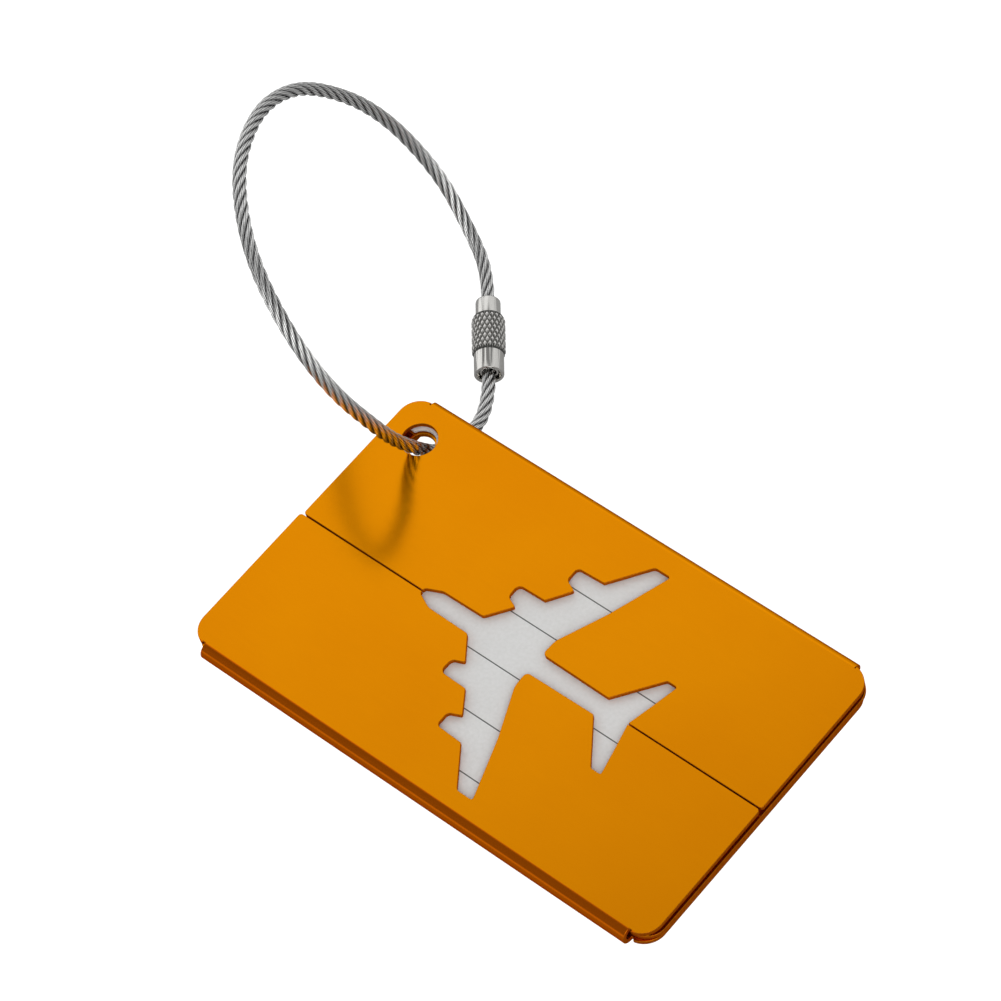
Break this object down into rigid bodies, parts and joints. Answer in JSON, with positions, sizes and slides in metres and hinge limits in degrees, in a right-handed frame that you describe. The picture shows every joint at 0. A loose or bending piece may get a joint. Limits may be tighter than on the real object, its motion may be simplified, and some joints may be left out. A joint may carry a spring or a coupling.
{
  "type": "luggage tag",
  "caption": "Flat sleeve of two folded aluminium sheets with an aircraft-shaped window over a ruled name card, on a wire-rope loop closed by a knurled screw barrel.",
  "frame": {"origin": "centre of the cable hole on the tag's front face", "axes": "+X along the long edge away from the hole, +Y to the long edge nearest the hole, +Z out of the front face"},
  "size_m": [0.1146, 0.0818, 0.0498],
  "materials": {
    "anodised_sheet": "glossy orange anodising",
    "card": "matt printed card with ruled lines",
    "wire_rope": "bare stainless strands",
    "nickel_steel": "polished nickel plate"
  },
  "bodies": {
    "tag": {"upper_shell": "anodised_sheet"},
    "lower_shell": {"lower_shell": "anodised_sheet"},
    "name_card": {"name_card": "card"},
    "cable_loop": {"wire_cable": "wire_rope", "stud_ferrule": "nickel_steel"},
    "stop_ferrule": {"stop_ferrule": "nickel_steel"},
    "barrel": {"knurled_barrel": "nickel_steel"}
  },
  "joints": [
    {"name": "shell_slide", "type": "slide", "parent": "tag", "child": "lower_shell", "axis": [0, -1, 0], "range_m": [0, 0.03]},
    {"name": "card_slide", "type": "slide", "parent": "tag", "child": "name_card", "axis": [1, 0, 0], "range_m": [0, 0.07]},
    {"name": "loop_swing", "type": "hinge", "parent": "tag", "child": "cable_loop", "pos_m": [0, 0, 0], "axis": [0, 0, 1], "range_deg": [-90, 120]},
    {"name": "barrel_travel", "type": "slide", "parent": "cable_loop", "child": "stop_ferrule", "axis": [0.66, -0.7513, 0], "range_m": [0, 0.003]},
    {"name": "barrel_spin", "type": "hinge", "parent": "stop_ferrule", "child": "barrel", "pos_m": [-0.013, 0.02644, -0.0129], "axis": [0.66, -0.7513, 0], "range_deg": [0, 2160]}
  ],
  "couplings": [
    {"joint": "barrel_spin", "follows": "barrel_travel", "rad_per_m": 12566}
  ]
}
